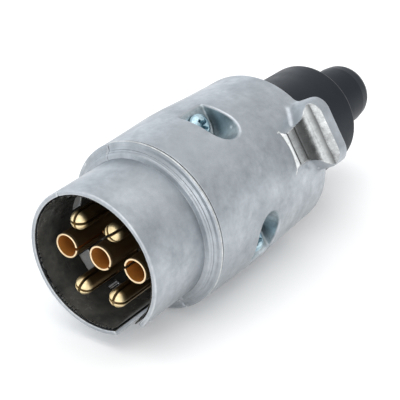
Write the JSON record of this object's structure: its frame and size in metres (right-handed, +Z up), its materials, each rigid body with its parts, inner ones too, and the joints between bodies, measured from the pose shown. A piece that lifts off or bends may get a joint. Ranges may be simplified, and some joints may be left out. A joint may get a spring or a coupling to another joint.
{
  "type": "trailer wiring connector",
  "caption": "Round trailer wiring plug: two-part die-cast casing with latch lug, keyed barrel around split pins and socket tubes, screw terminals, cable clamp and rubber boot.",
  "frame": {"origin": "middle of the underside of the bounding box, with the plug lying on its side", "axes": "+Y along the plug from the mating rim to the cable end, +Z up. Seen from the rim, the latch lug points 60 degrees clockwise from +Z and the keyway 150 degrees"},
  "size_m": [0.0526, 0.1224, 0.0479],
  "materials": {
    "die_cast": "as-cast, tumbled to a mottled satin sheen",
    "black_nylon": "glossy moulded",
    "brass": "turned and bright dipped",
    "blue_zinc": "blue passivated zinc plate",
    "nickel_steel": "nickel plate",
    "black_rubber": "smooth moulded, soft sheen"
  },
  "bodies": {
    "plug_body": {"lower_shell": "die_cast", "contact_insert": "black_nylon", "pin_upper_left": "brass", "pin_upper_right": "brass", "tube_right": "brass", "pin_lower_right": "brass", "pin_lower_left": "brass", "tube_left": "brass", "tube_centre": "brass", "rubber_boot": "black_rubber"},
    "upper_casing": {"upper_shell": "die_cast"},
    "left_casing_screw": {"casing_screw_left": "blue_zinc"},
    "right_casing_screw": {"casing_screw_right": "blue_zinc"},
    "upper_left_terminal_screw": {"terminal_screw_upper_left": "nickel_steel"},
    "upper_right_terminal_screw": {"terminal_screw_upper_right": "nickel_steel"},
    "right_terminal_screw": {"terminal_screw_right": "nickel_steel"},
    "lower_right_terminal_screw": {"terminal_screw_lower_right": "nickel_steel"},
    "lower_left_terminal_screw": {"terminal_screw_lower_left": "nickel_steel"},
    "left_terminal_screw": {"terminal_screw_left": "nickel_steel"},
    "centre_terminal_screw": {"terminal_screw_centre": "nickel_steel"},
    "clamp_strap": {"cable_clamp": "nickel_steel"},
    "left_clamp_screw": {"clamp_screw_left": "blue_zinc"},
    "right_clamp_screw": {"clamp_screw_right": "blue_zinc"}
  },
  "joints": [
    {"name": "upper_casing_lift", "type": "slide", "parent": "plug_body", "child": "upper_casing", "axis": [0.866, 0, 0.5], "range_m": [0, 0.045]},
    {"name": "left_casing_screw_turn", "type": "hinge", "parent": "upper_casing", "child": "left_casing_screw", "pos_m": [-0.00011, -0.0167, 0.04443], "axis": [0.866, 0, 0.5], "continuous": true},
    {"name": "right_casing_screw_turn", "type": "hinge", "parent": "upper_casing", "child": "right_casing_screw", "pos_m": [0.01659, -0.0167, 0.0155], "axis": [0.866, 0, 0.5], "continuous": true},
    {"name": "upper_left_terminal_screw_turn", "type": "hinge", "parent": "plug_body", "child": "upper_left_terminal_screw", "pos_m": [-0.00971, -0.0267, 0.03705], "axis": [-0.5, 0, 0.866], "continuous": true},
    {"name": "upper_right_terminal_screw_turn", "type": "hinge", "parent": "plug_body", "child": "upper_right_terminal_screw", "pos_m": [0.00539, -0.0267, 0.03705], "axis": [0.5, 0, 0.866], "continuous": true},
    {"name": "right_terminal_screw_turn", "type": "hinge", "parent": "plug_body", "child": "right_terminal_screw", "pos_m": [0.01294, -0.0267, 0.02397], "axis": [1, 0, 0], "continuous": true},
    {"name": "lower_right_terminal_screw_turn", "type": "hinge", "parent": "plug_body", "child": "lower_right_terminal_screw", "pos_m": [0.00539, -0.0267, 0.01089], "axis": [0.5, 0, -0.866], "continuous": true},
    {"name": "lower_left_terminal_screw_turn", "type": "hinge", "parent": "plug_body", "child": "lower_left_terminal_screw", "pos_m": [-0.00971, -0.0267, 0.01089], "axis": [-0.5, 0, -0.866], "continuous": true},
    {"name": "left_terminal_screw_turn", "type": "hinge", "parent": "plug_body", "child": "left_terminal_screw", "pos_m": [-0.01726, -0.0267, 0.02397], "axis": [-1, 0, 0], "continuous": true},
    {"name": "centre_terminal_screw_turn", "type": "hinge", "parent": "plug_body", "child": "centre_terminal_screw", "pos_m": [0.00139, -0.0187, 0.02602], "axis": [0.866, 0, 0.5], "continuous": true},
    {"name": "clamp_strap_lift", "type": "slide", "parent": "plug_body", "child": "clamp_strap", "axis": [0.866, 0, 0.5], "range_m": [0, 0.003]},
    {"name": "left_clamp_screw_turn", "type": "hinge", "parent": "clamp_strap", "child": "left_clamp_screw", "pos_m": [-0.00741, 0.0008, 0.03306], "axis": [0.866, 0, 0.5], "continuous": true},
    {"name": "right_clamp_screw_turn", "type": "hinge", "parent": "clamp_strap", "child": "right_clamp_screw", "pos_m": [0.00309, 0.0008, 0.01487], "axis": [0.866, 0, 0.5], "continuous": true}
  ]
}
